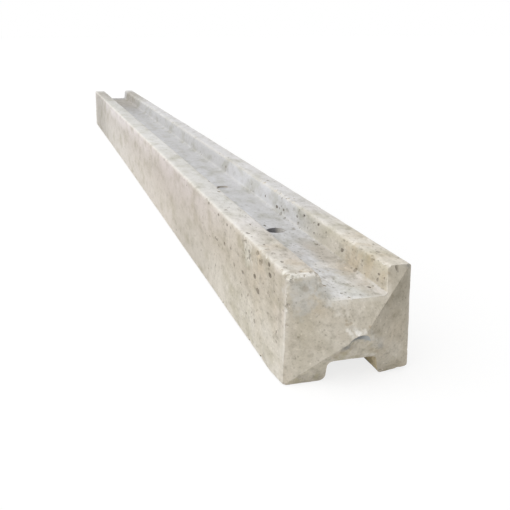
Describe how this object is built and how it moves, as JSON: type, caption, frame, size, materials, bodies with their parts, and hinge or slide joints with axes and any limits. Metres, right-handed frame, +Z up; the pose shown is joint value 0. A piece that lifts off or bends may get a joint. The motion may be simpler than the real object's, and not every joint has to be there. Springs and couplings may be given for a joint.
{
  "type": "concrete fence post",
  "caption": "Slotted concrete fence post lying on its side, with panel slots along both faces, a four-sided weathered top and a hole through its web.",
  "frame": {"origin": "on the ground, below the middle of the lying post's box", "axes": "+X along the post to its weathered top, +Y across the flanges, +Z up out of the upper slot"},
  "size_m": [1.75, 0.1108, 0.094],
  "materials": {
    "concrete": "matt weathered cast concrete"
  },
  "bodies": {
    "root": {"fence_post": "concrete"}
  },
  "joints": []
}
